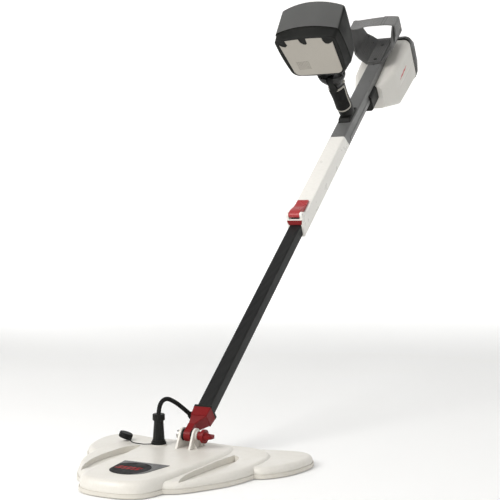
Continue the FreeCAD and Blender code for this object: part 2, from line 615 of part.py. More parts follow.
neck = neck.cut(soft_box(half(3.4), (15.5, 40), (SWITCH_Z[0] - 1, SWITCH_Z[1] + SWITCH_TRAVEL + 1), 2.5, "y"))
keep("display_neck", neck, NECK)
keep("neck_pin", rod(KNUCKLE_PIN_R, *knuckle_pin), NECK)
keep("trigger_pin", rod(1.6, *trigger_axis), NECK)

trigger_side = [V(TRIGGER_PIN[0] + 4.2, 0, TRIGGER_PIN[1] + 1), V(26.5, 0, 20), V(26.0, 0, 8), V(30.5, 0, -1)]
trigger_back = [V(26.5, 0, -3), V(21.5, 0, 8), V(20.5, 0, 20), V(TRIGGER_PIN[0] - 4, 0, TRIGGER_PIN[1] - 1)]
trigger_wire = Part.Wire([spline_edge(trigger_side), Part.makeLine(trigger_side[-1], trigger_back[0]),
                          spline_edge(trigger_back), Part.makeLine(trigger_back[-1], trigger_side[0])])
trigger = fuse([across(trigger_wire, half(7.8)),
                rod(4.2, V(TRIGGER_PIN[0], -7.8, TRIGGER_PIN[1]), V(TRIGGER_PIN[0], 7.8, TRIGGER_PIN[1]))])
keep("trigger", trigger.cut(rod(1.65, *trigger_axis)), NECK)
keep("side_switch", soft_box(half(2.9), (15.8, 23.4), SWITCH_Z, 1.4, "y"), NECK)

# ---- display ------------------------------------------------------------------------------------------

HOOD_TOP = 66.0                # at its corners
CROWN = 13.5                   # how far the top arches up between its corners
HOOD_LOW = -53.0
HOOD_HALF = 77.0
HOOD_HALF_LOW = 76.0
FRONT_TOP = 67.0               # the same four at the face that holds the back panel
FRONT_CROWN = 5.0
FRONT_HALF = 73.0
FRONT_HALF_LOW = 68.0
RIM_TOP = 96.0                 # how far the hood reaches towards the operator, at the top
RIM_LOW = 52.0
LIP = 26.0                     # where the top wall overhangs the slanted band above the back panel
SCREEN_Z = 30.0                # the face that holds screen and keys
KNUCKLE = SCREEN.inverse().multVec(at(NECK, 0, 0, KNUCKLE_Z))


def hood_outline(z, top, crown, wide, narrow, low=HOOD_LOW):
    """The housing seen from the operator: a crowned top, and sides that draw in to rounded lower corners."""
    r = 9.0
    lean = 2 * math.atan(crown / wide)
    shoulder = wide - r * (1 - math.sin(lean))
    halfway = (lean + math.pi / 2) / 2
    start = V(top, shoulder, z)
    turn = V(top - r * (math.cos(lean) - math.cos(halfway)), shoulder + r * (math.sin(halfway) - math.sin(lean)), z)
    side = V(top - r * math.cos(lean), wide, z)
    corner = 19.0
    b = V(low + corner, narrow, z)
    bend = V(low + 0.3 * corner, narrow - 0.3 * corner, z)
    c = V(low, narrow - corner, z)
    belly = V(10, (wide + narrow) / 2 + 2, z)

    def mirrored(p):
        return V(p.x, -p.y, p.z)
    arcs = [(mirrored(start), V(top + crown, 0, z), start), (start, turn, side), (side, belly, b), (b, bend, c),
            (c, V(low - 2, 0, z), mirrored(c)), (mirrored(c), mirrored(bend), mirrored(b)),
            (mirrored(b), mirrored(belly), mirrored(side)), (mirrored(side), mirrored(turn), mirrored(start))]
    return Part.Wire([Part.Arc(*points).toShape() for points in arcs])


def hood_prism(inset, z):
    wire = hood_outline(z[0], HOOD_TOP - inset, CROWN, HOOD_HALF - inset, HOOD_HALF_LOW - inset, HOOD_LOW + inset)
    return wire_prism(wire, V(0, 0, z[1] - z[0]))


front = Part.makeLoft([hood_outline(0, FRONT_TOP - 2, FRONT_CROWN, FRONT_HALF - 2, FRONT_HALF_LOW - 2, HOOD_LOW + 2),
                       hood_outline(2.5, FRONT_TOP, FRONT_CROWN, FRONT_HALF, FRONT_HALF_LOW),
                       hood_outline(LIP, HOOD_TOP - 1.5, CROWN - 1, HOOD_HALF - 1.5, HOOD_HALF_LOW - 1)], True, True)
beyond_rim = poly_xz([(HOOD_TOP + 30, RIM_TOP + 11), (HOOD_LOW - 30, RIM_LOW - 11), (HOOD_LOW - 30, 130),
                      (HOOD_TOP + 30, 130)], half(100))
hood = fuse([front, hood_prism(0, (LIP, 125))]).cut(beyond_rim)
recess = hood_prism(3.2, (SCREEN_Z, 130))
cavity = box((-46, 56), half(58), (3.5, SCREEN_Z - 2.5))


def panel_prism(grow, z):
    """The back panel: a slightly crowned top, rounded lower corners."""
    top = 64 + grow
    crown = 3.5
    low = -49.5 - grow
    wide = 64 + grow
    narrow = 59 + grow
    corner = 15.0
    floor = z[0]
    a = V(top, wide - 6, floor)
    b = V(top - 6, wide, floor)
    c = V(low + corner, narrow, floor)
    bend = V(low + corner * 0.3, narrow - corner * 0.3, floor)
    d = V(low, narrow - corner, floor)

    def mirrored(p):
        return V(p.x, -p.y, p.z)
    wire = Part.Wire([Part.Arc(mirrored(a), V(top + crown, 0, floor), a).toShape(), Part.makeLine(a, b),
                      Part.makeLine(b, c), Part.Arc(c, bend, d).toShape(), Part.makeLine(d, mirrored(d)),
                      Part.Arc(mirrored(d), mirrored(bend), mirrored(c)).toShape(),
                      Part.makeLine(mirrored(c), mirrored(b)), Part.makeLine(mirrored(b), mirrored(a))])
    return wire_prism(wire, V(0, 0, z[1] - z[0]))


PANEL_T = 2.4
# the three fingers as (up the panel, y) outlines: one at each upper corner, a tapered one in the middle
FINGERS = [[(74, -72), (60, -72), (48, -58), (45.5, -51), (51, -44.5), (74, -48)],
           [(76, -15), (57, -12), (50, -6), (48.5, 0), (52, 3.5), (76, 5)],
           [(74, 42), (56, 42), (47.5, 45.5), (45, 52), (48, 60), (60, 72), (74, 72)]]


def notches(shrink, z):
    """The fingers of the housing that hook over the panel's upper edge, drawn smaller by shrink."""
    cut = []
    for outline in FINGERS:
        finger = poly_xy(outline, z)
        upright = [e for e in finger.Edges if abs(e.tangentAt(e.FirstParameter).z) > 0.9]
        base = [f for f in finger.makeFillet(2, upright).Faces if abs(f.CenterOfMass.z - z[0]) < 1e-6][0]
        outlined = base.makeOffset2D(-shrink) if shrink else base
        cut.append(outlined.extrude(V(0, 0, z[1] - z[0])))
    return cut[0].multiFuse(cut[1:])


hood = hood.cut(recess).cut(cavity).cut(panel_prism(0.3, (-1, PANEL_T + 0.1)).cut(notches(0.3, (0.4, PANEL_T + 1))))
hood = hood.cut(box((-44, 22), half(48), (PANEL_T, 5)))
SCREEN_WINDOW = ((-14, 46), (-50, 50))
hood = hood.cut(box(SCREEN_WINDOW[0], SCREEN_WINDOW[1], (10, SCREEN_Z + 1)))
lug = fuse([rod(KNUCKLE_R - 0.4, V(KNUCKLE.x, -19.8, KNUCKLE.z), V(KNUCKLE.x, 19.8, KNUCKLE.z)),
            poly_xz([(KNUCKLE.x + 1, KNUCKLE.z + 12.4), (KNUCKLE.x - 4, KNUCKLE.z - 11.5), (HOOD_LOW + 1, 6),
                     (HOOD_LOW + 1, RIM_LOW - 3)], half(19.8))])
lug = lug.cut(rod(KNUCKLE_PIN_R + RUN, V(KNUCKLE.x, -25, KNUCKLE.z), V(KNUCKLE.x, 25, KNUCKLE.z)))
lug = lug.cut(hood_prism(3.0, (0, 100)))
KEY_ROWS = [(-30, -44), (-30, -26.4), (-30, -8.8), (-30, 8.8), (-30, 26.4), (-30, 44)]
KEY_R = 5.5
for x, y in KEY_ROWS:
    hood = hood.cut(rod(KEY_R + 0.25, V(x, y, 10), V(x, y, SCREEN_Z + 2)))
keep("display_housing", fuse([hood, lug]), SCREEN)

panel = panel_prism(0, (0, PANEL_T)).cut(notches(0, (-1, PANEL_T + 1)))
GRILLE_PITCH = 3.9
for row in range(7):
    for column in range(8):
        y = 14 + GRILLE_PITCH * column
        x = -28.5 + GRILLE_PITCH * row
        panel = panel.cut(rod(1.0, V(x, -y, -1), V(x, -y, PANEL_T + 1)))
keep("back_panel", panel, SCREEN)

keep("screen", box((-13.6, 45.6), half(49.6), (SCREEN_Z - 7.5, SCREEN_Z - 2.4)), SCREEN)
keep("screen_window", soft_box((-13.7, 45.7), half(49.7), (SCREEN_Z - 2.3, SCREEN_Z - 0.4), 3), SCREEN)
keep("display_board", box((-38, 44), half(52), (8.2, 9.8)), SCREEN)
SPEAKER_AT = (-17, -28)
cone_rim = rod(14, V(*SPEAKER_AT, 3.7), V(*SPEAKER_AT, 6))
keep("speaker", fuse([cone_rim, rod(8, V(*SPEAKER_AT, 6), V(*SPEAKER_AT, 8.0))]), SCREEN)
for number, (x, y) in enumerate(KEY_ROWS, 1):
    key = fuse([rod(KEY_R, V(x, y, SCREEN_Z - 4.2), V(x, y, SCREEN_Z + 1.6)),
                rod(KEY_R - 1.5, V(x, y, 12), V(x, y, SCREEN_Z - 4.2))])
    keep(f"key_{number}", key.makeFillet(0.6, edges_on_plane(key, SCREEN_Z + 1.6)), SCREEN)

# ---- arm cuff and strap -------------------------------------------------------------------------------

cuff_out = [(98, -60), (39.6, -50.8), (UPPER_N[1] + 0.1, -21)]
cuff_in = [(98, -56.4), (41.0, -47.2), (UPPER_N[1] + 3.8, -19.4)]
outline = cuff_out + [(n, -y) for n, y in reversed(cuff_out)] + [(n, -y) for n, y in cuff_in] + list(reversed(cuff_in))
cuff = poly_xy(outline, (CUFF[0] - 10, CUFF[1] + 20))
cuff_trim = poly_xz([(0, CUFF[0]), (30, CUFF[0] + 5), (40, CUFF[0] + 13), (88, 1301), (98.5, 1309), (98.5, 1364),
                     (88, 1375), (44, 1396), (30, CUFF[1]), (0, CUFF[1])], half(80))
cuff = cuff.common(cuff_trim)
RIB_H = 0.7
for side in (-1, 1):
    for step in range(6):
        share = 0.2 + 0.12 * step
        n = cuff_in[2][0] + share * (cuff_in[1][0] - cuff_in[2][0])
        y = side * (19.4 + share * (47.2 - 19.4))
        rise = (RIB_H * 0.75, -side * RIB_H * 0.66)
        run = (0.5, side * 0.6)
        rib = [(n - run[0], y - run[1]), (n + run[0], y + run[1]),
               (n + 0.5 * run[0] + rise[0], y + 0.5 * run[1] + rise[1]),
               (n - 0.5 * run[0] + rise[0], y - 0.5 * run[1] + rise[1])]
        cuff = cuff.fuse(poly_xy(rib, (1300, 1378)))
cuff = cuff.removeSplitter()
for u, y, n in ((1387, -43, 33), (1374, -29, 20)):
    cuff = cuff.cut(rod(2.4, V(n - 8, y - 7, u), V(n + 8, y + 7, u)))
for u in CUFF_SCREWS:
    cuff = cuff.cut(rod(2.6, V(10, 0, u), V(20, 0, u)))
keep("arm_cuff", cuff, SHAFT)

screws = []
for u in CUFF_SCREWS:
    head = rod(4.6, V(UPPER_N[1] + 3.9, 0, u), V(UPPER_N[1] + 6.2, 0, u))
    nut = soft_box((-0.4, BORE_N[1] - 0.05), half(4.5), (u - 4.5, u + 4.5), 0.6, "x")
    screws.append(fuse([head, rod(2.5, V(-0.4, 0, u), V(UPPER_N[1] + 3.9, 0, u)), nut]))
keep("cuff_screws", Part.makeCompound(screws), SHAFT, pieces=2)

cuff_pad = soft_box((UPPER_N[1] + 3.9, UPPER_N[1] + 5.4), half(18.8), (CUFF[0] + 6, CUFF[1] - 6), 0.6)
for u in CUFF_SCREWS:
    cuff_pad = cuff_pad.cut(rod(5.2, V(10, 0, u), V(30, 0, u)))
keep("cuff_pad", cuff_pad, SHAFT)

STRAP_U = (1311.0, 1358.0)
STRAP_T = 2.4
STRAP_FOOT = 60.8              # just outside the cuff's wall tops
STRAP_END_N = 98.5
STRAP_RISE = 101.5


def strap_arc(y, n_top):
    """An arc over the arm in the shaft's cross-section, from one wall's top to the other's."""
    return Part.Arc(V(STRAP_END_N, -y, 0), V(n_top, 0, 0), V(STRAP_END_N, y, 0)).toShape()


outer_y = STRAP_FOOT + STRAP_T
over = Part.Wire([strap_arc(outer_y, STRAP_RISE + STRAP_T),
                  Part.makeLine(V(STRAP_END_N, outer_y, 0), V(STRAP_END_N, STRAP_FOOT, 0)),
                  strap_arc(STRAP_FOOT, STRAP_RISE),
                  Part.makeLine(V(STRAP_END_N, -STRAP_FOOT, 0), V(STRAP_END_N, -outer_y, 0))])
LEG_SLOPE = (60 - 50.8) / (98 - 39.6)


def leg(side, low):
    """The strap's end, down the outside of one wall."""
    drop = (STRAP_END_N - low) * LEG_SLOPE
    return poly_xy([(STRAP_END_N, side * STRAP_FOOT), (STRAP_END_N, side * outer_y), (low, side * (outer_y - drop)),
                    (low, side * (STRAP_FOOT - drop))], STRAP_U)


arch = wire_prism(over, V(0, 0, STRAP_U[1] - STRAP_U[0])).translated(V(0, 0, STRAP_U[0]))
keep("arm_strap", fuse([arch, leg(1, 50), leg(-1, 72)]), SHAFT)

# ---- system box ---------------------------------------------------------------------------------------

MOUNT_U = (1136.0, 1189.0)
mount = soft_box((-47, -3), half(25), MOUNT_U, 10)
tube_way = box((SLEEVE_N[0], 60), half(SLEEVE_Y), (1000, BOX_SEAM))
keep("box_mount", mount.cut(tube_way), SHAFT)

BOX_FRONT_WALL = 1264.0
WALL = 3.0
COVER_T = 2.6


def shell_loft(inset):
    start = BOX_FRONT + inset
    return Part.makeLoft([rounded_wire(36 - inset, (-73 + inset, -9 - inset), 12 - inset, start),
                          rounded_wire(56 - inset, (-108 + inset, -6 - inset), 14 - inset, BOX_FRONT_WALL + inset),
                          rounded_wire(60 - inset, (-118 + inset, 4 - inset), 17 - inset, BOX_SEAM + 0.01 * inset)],
                         True, True)


TUBE_ROOM = box((SLEEVE_N[0] - 0.1, 80), half(SLEEVE_Y + 0.3), (1100, BOX_SEAM + 20))
TUBE_TRAY = box((SLEEVE_N[0] - 3.1, 80), half(SLEEVE_Y + 3.3), (1100, BOX_SEAM + 20))
HEADPHONE_AT = (-42.0, 1300.0)  # along the normal, up the shaft
CHARGER_AT = (-66.0, 1300.0)
SOCKET_R = 5.5
shell = shell_loft(0).cut(TUBE_ROOM).cut(shell_loft(WALL).cut(TUBE_TRAY))
for n, u in (HEADPHONE_AT, CHARGER_AT):
    shell = shell.cut(rod(SOCKET_R + 0.1, V(n, -80, u), V(n, -40, u)))
shell = shell.fuse(rod(5, V(-101, 26, BOX_FRONT_WALL + 4), V(-101, 26, BOX_FRONT_WALL - 8)))
shell = shell.cut(rod(2, V(-101, 26, BOX_FRONT_WALL - 20), V(-101, 26, BOX_FRONT_WALL - 2)))
keep("system_box_shell", shell, SHAFT)


def cover_loft(inset):
    return Part.makeLoft([rounded_wire(61 - inset, (-119.5 + inset, 9 - inset), 18 - inset, BOX_SEAM + 0.3 - 0.01 * inset),
                          rounded_wire(59 - inset, (-121 + inset, 2 - inset), 18 - inset, BOX_SEAM + 24 - inset),
                          rounded_wire(48 - inset, (-116 + inset, -30 - inset), 17 - inset, BOX_REAR - inset)],
                         True, True)


keep("battery_door", cover_loft(0).cut(cover_loft(COVER_T)), SHAFT)
for name, (n, u), bore in (("headphone_socket", HEADPHONE_AT, 3.25), ("charger_socket", CHARGER_AT, 2.8)):
    face = -58.6
    body = fuse([rod(SOCKET_R, V(n, face, u), V(n, -39, u)), rod(7.5, V(n, face, u), V(n, face + 1.2, u))])
    keep(name, body.cut(rod(bore, V(n, face - 1, u), V(n, face + 17.5, u))), SHAFT)
keep("battery_pack", soft_box((-101, -58), half(42), (1306, 1392), 6), SHAFT)
keep("main_board", box((-96, -34), half(40), (1268, 1269.6)), SHAFT)
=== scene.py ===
import bpy
import json
import math
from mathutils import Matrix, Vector


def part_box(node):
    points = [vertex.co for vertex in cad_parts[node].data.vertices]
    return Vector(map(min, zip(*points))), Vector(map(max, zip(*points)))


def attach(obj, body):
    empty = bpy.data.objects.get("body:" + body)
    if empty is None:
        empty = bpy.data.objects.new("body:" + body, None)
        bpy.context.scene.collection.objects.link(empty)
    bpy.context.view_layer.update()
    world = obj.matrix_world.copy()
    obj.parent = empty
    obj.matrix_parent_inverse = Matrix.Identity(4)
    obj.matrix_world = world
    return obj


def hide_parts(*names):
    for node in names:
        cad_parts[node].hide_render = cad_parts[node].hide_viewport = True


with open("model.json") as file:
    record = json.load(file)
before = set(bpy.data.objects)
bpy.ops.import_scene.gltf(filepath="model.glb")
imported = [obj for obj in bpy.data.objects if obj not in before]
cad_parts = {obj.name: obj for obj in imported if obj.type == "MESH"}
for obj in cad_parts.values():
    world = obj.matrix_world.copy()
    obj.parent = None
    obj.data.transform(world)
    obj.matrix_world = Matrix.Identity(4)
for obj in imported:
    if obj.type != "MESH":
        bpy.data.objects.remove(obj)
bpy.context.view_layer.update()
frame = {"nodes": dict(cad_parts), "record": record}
record = frame["record"]
nodes = frame["nodes"]

# ---- places, all from the frame ------------------------------------------------------------------------

joints = {joint["name"]: joint for joint in record["behaviour"]["joints"]}
UP_SHAFT = Vector(joints["shaft_slide"]["axis"]).normalized()
OFF_SHAFT = Vector((UP_SHAFT.z, 0, -UP_SHAFT.x))      # the shaft's normal, towards the cuff's opening
PIVOT = Vector(joints["coil_tilt"]["pos_m"])
GROUND_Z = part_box("coil_skid_cover")[0][2]
MM = 0.001


def on_shaft(n, y, u):
    """A point from millimetres along the shaft's normal, across it, and up it from the pivot."""
    return PIVOT + OFF_SHAFT * (n * MM) + Vector((0, y * MM, 0)) + UP_SHAFT * (u * MM)


def on_ground(x, y, z):
    """A point from millimetres ahead of the coil's pivot, to its left, and above the ground."""
    return Vector((PIVOT.x + x * MM, y * MM, GROUND_Z + z * MM))


# ---- material building ---------------------------------------------------------------------------------


class Shader:
    """A small wrapper that adds and links nodes of one material."""

    def __init__(self, name):
        self.material = bpy.data.materials.new(name)
        self.material.use_nodes = True
        self.tree = self.material.node_tree
        self.bsdf = next(n for n in self.tree.nodes if n.type == "BSDF_PRINCIPLED")
        self.coords = self.add("ShaderNodeTexCoord")

    def add(self, kind, **settings):
        node = self.tree.nodes.new(kind)
        for key, value in settings.items():
            setattr(node, key, value)
        return node

    def put(self, socket, value):
        """Link an output to a socket, or set a plain value on it."""
        if isinstance(value, bpy.types.NodeSocket):
            self.tree.links.new(value, socket)
        elif hasattr(value, "__len__") and len(value) == 3 and socket.type == "RGBA":
            socket.default_value = (*value, 1.0)
        else:
            socket.default_value = value

    def place(self, scale=(1, 1, 1), rotation=(0, 0, 0), source="Object"):
        node = self.add("ShaderNodeMapping")
        self.put(node.inputs["Vector"], self.coords.outputs[source])
        node.inputs["Scale"].default_value = scale
        node.inputs["Rotation"].default_value = rotation
        return node.outputs["Vector"]

    def noise(self, scale, detail=3.0, rough=0.55, vector=None, distortion=0.0):
        node = self.add("ShaderNodeTexNoise")
        self.put(node.inputs["Vector"], vector or self.coords.outputs["Object"])
        node.inputs["Scale"].default_value = scale
        node.inputs["Detail"].default_value = detail
        node.inputs["Roughness"].default_value = rough
        node.inputs["Distortion"].default_value = distortion
        return node.outputs["Fac"]

    def cells(self, scale, vector=None, feature="F1"):
        node = self.add("ShaderNodeTexVoronoi", feature=feature)
        self.put(node.inputs["Vector"], vector or self.coords.outputs["Object"])
        node.inputs["Scale"].default_value = scale
        return node.outputs["Distance"]

    def ramp(self, value, low, high, out_low=0.0, out_high=1.0):
        node = self.add("ShaderNodeMapRange")
        self.put(node.inputs["Value"], value)
        limits = {"From Min": low, "From Max": high, "To Min": out_low, "To Max": out_high}
        for name, number in limits.items():
            node.inputs[name].default_value = number
        return node.outputs["Result"]

    def math(self, operation, a, b=0.0):
        node = self.add("ShaderNodeMath", operation=operation)
        self.put(node.inputs[0], a)
        self.put(node.inputs[1], b)
        return node.outputs["Value"]

    def mix(self, factor, a, b):
        node = self.add("ShaderNodeMix", data_type="RGBA")
        self.put(node.inputs["Factor"], factor)
        self.put(node.inputs["A"], a)
        self.put(node.inputs["B"], b)
        return node.outputs["Result"]

    def split(self, vector):
        node = self.add("ShaderNodeSeparateXYZ")
        self.put(node.inputs["Vector"], vector)
        return node.outputs

    def edges(self, radius, low=0.995, high=0.9):
        """A soft mask along convex and concave edges."""
        bevel = self.add("ShaderNodeBevel", samples=4)
        bevel.inputs["Radius"].default_value = radius
        flat = self.add("ShaderNodeNewGeometry")
        dot = self.add("ShaderNodeVectorMath", operation="DOT_PRODUCT")
        self.put(dot.inputs[0], bevel.outputs["Normal"])
        self.put(dot.inputs[1], flat.outputs["Normal"])
        return self.ramp(dot.outputs["Value"], low, high)

    def bump(self, height, strength, distance, under=None, round_edges=0.0):
        node = self.add("ShaderNodeBump")
        node.inputs["Strength"].default_value = strength
        node.inputs["Distance"].default_value = distance
        self.put(node.inputs["Height"], height)
        if under is not None:
            self.put(node.inputs["Normal"], under)
        elif round_edges:
            bevel = self.add("ShaderNodeBevel", samples=4)
            bevel.inputs["Radius"].default_value = round_edges
            self.put(node.inputs["Normal"], bevel.outputs["Normal"])
        return node.outputs["Normal"]

    def finish(self, colour, roughness, normal=None, **constants):
        self.put(self.bsdf.inputs["Base Color"], colour)
        self.put(self.bsdf.inputs["Roughness"], roughness)
        if normal is not None:
            self.put(self.bsdf.inputs["Normal"], normal)
        for name, value in constants.items():
            self.bsdf.inputs[name.replace("_", " ")].default_value = value
        return self.material


def scaled(colour, factor):
    return tuple(min(1.0, channel * factor) for channel in colour)


def plastic(name, colour, rough, grain=900.0, grain_depth=0.00006, cloud=9.0, spread=0.08, wear=None,
            dirt=None, edge=0.0006, scuffs=0.0, rough_spread=0.1, **constants):
    """Moulded or lacquered surface: cloudy colour, fine grain, uneven gloss, worn and dirty edges."""
    s = Shader(name)
    cloudy = s.noise(cloud, 4.0)
    tone = s.mix(s.ramp(cloudy, 0.3, 0.7), scaled(colour, 1 - spread), scaled(colour, 1 + spread))
    speckle = s.noise(grain * 0.45, 2.0)
    tone = s.mix(s.ramp(speckle, 0.4, 0.75, 0.0, 0.25), tone, scaled(colour, 0.86))
    mask = s.edges(0.0012)
    broken = s.ramp(s.noise(140.0, 5.0), 0.42, 0.68)
    if wear:
        tone = s.mix(s.math("MULTIPLY", s.math("MULTIPLY", mask, broken), 0.5), tone, wear)
    if dirt:
        low = s.ramp(s.noise(34.0, 6.0, 0.7), 0.52, 0.75, 0.0, 0.5)
        tone = s.mix(low, tone, dirt)
    gloss = s.ramp(s.noise(26.0, 4.0), 0.3, 0.7, rough - rough_spread, rough + rough_spread)
    fine = s.noise(grain, 2.0, 0.6)
    height = fine
    if scuffs:
        streaks = s.noise(60.0, 6.0, 0.7, s.place((1.0, 7.0, 1.0), (0.3, 0.2, 0.7)))
        lines = s.ramp(streaks, 0.62, 0.66)
        gloss = s.math("ADD", gloss, s.math("MULTIPLY", lines, scuffs))
        height = s.math("ADD", fine, s.math("MULTIPLY", lines, 0.6))
    normal = s.bump(height, 0.55, grain_depth, round_edges=edge)
    return s.finish(tone, gloss, normal, **constants)


def metal(name, colour, rough, brushed=(1.0, 1.0, 40.0)):
    """Machined metal with fine turning marks and dull spots."""
    s = Shader(name)
    lines = s.noise(160.0, 5.0, 0.7, s.place(brushed))
    tone = s.mix(s.ramp(lines, 0.3, 0.7), scaled(colour, 0.8), scaled(colour, 1.15))
    spots = s.ramp(s.noise(90.0, 5.0), 0.55, 0.75, 0.0, 0.3)
    gloss = s.math("ADD", s.ramp(lines, 0.3, 0.7, rough - 0.07, rough + 0.07), spots)
    return s.finish(tone, gloss, s.bump(lines, 0.4, 0.00003, round_edges=0.0004), Metallic=1.0)


def tube_black():
    """Satin black fibre tube: a faint twill, and long scratches from sliding in the sleeve."""
    s = Shader("black_tube")
    weave = s.place((520.0, 520.0, 520.0), (0.6, 0.9, 0.2))
    parts = s.split(weave)
    twill = s.math("MULTIPLY", s.math("SINE", parts[0]), s.math("SINE", parts[1]))
    tone = s.mix(s.ramp(twill, -1.0, 1.0), (0.008, 0.008, 0.0083), (0.015, 0.015, 0.0153))
    cloudy = s.noise(5.0, 4.0)
    tone = s.mix(s.ramp(cloudy, 0.35, 0.7, 0.0, 0.6), tone, (0.015, 0.0153, 0.015))
    angle = math.atan2(UP_SHAFT.z, -UP_SHAFT.x)
    along = s.place((3.0, 260.0, 260.0), (0.0, angle, 0.0))
    scratch = s.ramp(s.noise(1.0, 4.0, 0.7, along), 0.62, 0.67)
    tone = s.mix(s.math("MULTIPLY", scratch, 0.3), tone, (0.035, 0.035, 0.035))
    gloss = s.math("ADD", s.ramp(cloudy, 0.3, 0.7, 0.36, 0.5), s.math("MULTIPLY", scratch, 0.12))
    height = s.math("ADD", s.math("MULTIPLY", twill, 0.12), scratch)
    return s.finish(tone, gloss, s.bump(height, 0.25, 0.00003, round_edges=0.0005), Specular_IOR_Level=0.2)


def badge_decal():
    """Glossy generic badge: a black oval with plain red bars over brushed silver, no lettering."""
    s = Shader("badge")
    low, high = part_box("coil_badge")
    centre = [(low[i] + high[i]) / 2 for i in range(2)]
    parts = s.split(s.coords.outputs["Object"])
    dx = s.math("SUBTRACT", parts[0], centre[0] + 0.006)
    dy = s.math("SUBTRACT", parts[1], centre[1] - 0.008)
    reach = s.math("ADD", s.math("POWER", s.math("DIVIDE", dx, 0.041), 2.0),
                   s.math("POWER", s.math("DIVIDE", dy, 0.038), 2.0))
    oval = s.ramp(reach, 1.02, 0.98)
    brushed = s.noise(60.0, 4.0, 0.6, s.place((1.0, 22.0, 1.0)))
    silver = s.mix(s.ramp(brushed, 0.3, 0.7), (0.10, 0.10, 0.10), (0.24, 0.24, 0.24))
    slanted = s.math("ADD", s.math("MULTIPLY", dy, 1.0), s.math("MULTIPLY", dx, 0.55))
    stripes = s.math("SINE", s.math("MULTIPLY", slanted, 760.0))
    bars = s.ramp(stripes, -0.15, 0.1)
    band = s.math("MULTIPLY", s.ramp(s.math("ABSOLUTE", s.math("ADD", dx, 0.004)), 0.0085, 0.0075),
                  s.ramp(s.math("ABSOLUTE", dy), 0.0235, 0.0225))
    gap = s.ramp(s.math("ABSOLUTE", s.math("ADD", dx, 0.004)), 0.0010, 0.0016)
    red = s.math("MULTIPLY", s.math("MULTIPLY", bars, band), gap)
    inside = s.mix(red, (0.004, 0.004, 0.0045), (0.42, 0.010, 0.012))
    tone = s.mix(oval, silver, inside)
    gloss = s.ramp(s.noise(60.0, 4.0), 0.3, 0.7, 0.3, 0.5)
    return s.finish(tone, gloss, s.bump(oval, 0.3, 0.0002), Specular_IOR_Level=0.02)


def webbing(name, seam_and_edge_shade_on):
    """Grey woven webbing: ribs along the strap, picks across it, fuzz, and near its start a dark stitched
    seam plus painted shade along its starting edge.
    """
    s = Shader(name)
    uv = s.place(source="UV")
    parts = s.split(uv)
    ribs = s.math("SINE", s.math("MULTIPLY", parts[1], 2 * math.pi / 0.0016))
    picks = s.math("SINE", s.math("MULTIPLY", parts[0], 2 * math.pi / 0.0011))
    weave = s.math("MULTIPLY", ribs, picks)
    fuzz = s.noise(1500.0, 3.0, 0.7)
    tone = s.mix(s.ramp(weave, -1.0, 1.0), (0.065, 0.065, 0.064), (0.225, 0.225, 0.22))
    tone = s.mix(s.ramp(s.noise(30.0, 4.0), 0.35, 0.7, 0.0, 0.25), tone, (0.17, 0.17, 0.165))
    if seam_and_edge_shade_on:
        # dark band at the starting edge: painted shade where this end lies over the strap; dark band 8.5 to
        # 9.6 mm along: the stitched seam
        seam_and_edge_shade = s.math("MAXIMUM", s.ramp(parts[0], 0.0022, 0.0014),
                          between(s, parts[0], 0.0085, 0.0096, 0.0003))
        tone = s.mix(s.math("MULTIPLY", seam_and_edge_shade, 0.85), tone, (0.02, 0.02, 0.02))
    height = s.math("ADD", s.math("ADD", weave, s.math("MULTIPLY", ribs, 0.5)), fuzz)
    return s.finish(tone, s.ramp(fuzz, 0.3, 0.7, 0.75, 0.95), s.bump(height, 0.5, 0.0002), Sheen_Weight=0.35,
                    Sheen_Roughness=0.5)


def screen_face():
    """Dark display showing a faint grid and a smooth trace, no characters."""
    s = Shader("screen_panel")
    low, high = (Vector(corner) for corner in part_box("screen"))
    parts = s.split(s.coords.outputs["Object"])
    across = s.math("SINE", s.math("MULTIPLY", parts[1], 2 * math.pi / 0.0125))
    down = s.math("SINE", s.math("MULTIPLY", parts[0], 2 * math.pi / 0.0095))
    grid = s.math("MAXIMUM", s.ramp(across, 0.985, 1.0), s.ramp(down, 0.985, 1.0))
    wave = s.math("MULTIPLY", s.math("SINE", s.math("MULTIPLY", parts[1], 90.0)), 0.010)
    middle = (low.x + high.x) / 2
    off = s.math("ABSOLUTE", s.math("SUBTRACT", s.math("SUBTRACT", parts[0], middle), wave))
    trace = s.ramp(off, 0.0014, 0.0007)
    tone = s.mix(s.math("MULTIPLY", grid, 0.6), (0.008, 0.016, 0.022), (0.03, 0.09, 0.10))
    tone = s.mix(trace, tone, (0.10, 0.42, 0.30))
    s.put(s.bsdf.inputs["Emission Color"], tone)
    s.bsdf.inputs["Emission Strength"].default_value = 0.5
    return s.finish(tone, s.ramp(s.noise(50.0), 0.3, 0.7, 0.12, 0.22), s.bump(s.noise(300.0), 0.05, 0.00002))


def clear_window():
    s = Shader("glass")
    smear = s.noise(28.0, 5.0, 0.7)
    return s.finish((0.9, 0.93, 0.94), s.ramp(smear, 0.4, 0.7, 0.03, 0.14), s.bump(smear, 0.05, 0.00002),
                    Transmission_Weight=0.95, IOR=1.49, Specular_IOR_Level=0.5)


def winding_wire():
    s = Shader("copper")
    strands = s.noise(400.0, 3.0, 0.6, s.place((1.0, 1.0, 14.0)))
    tone = s.mix(s.ramp(strands, 0.3, 0.7), (0.30, 0.10, 0.035), (0.55, 0.22, 0.09))
    return s.finish(tone, s.ramp(strands, 0.3, 0.7, 0.25, 0.45), s.bump(strands, 0.6, 0.0001), Metallic=1.0)


def circuit_board():
    s = Shader("board")
    tracks = s.ramp(s.cells(260.0), 0.25, 0.32)
    tone = s.mix(tracks, (0.09, 0.30, 0.12), (0.012, 0.085, 0.03))
    return s.finish(tone, s.ramp(s.noise(70.0), 0.3, 0.7, 0.3, 0.5), s.bump(tracks, 0.3, 0.00004))


def ribbed_rubber():
    """Soft black rubber with dust in its fine grain."""
    return plastic("dark_rubber", (0.011, 0.011, 0.011), 0.62, grain=1300.0, grain_depth=0.00009, spread=0.15,
                   wear=(0.045, 0.045, 0.043), dirt=(0.02, 0.019, 0.017), edge=0.0004,
                   Specular_IOR_Level=0.15)


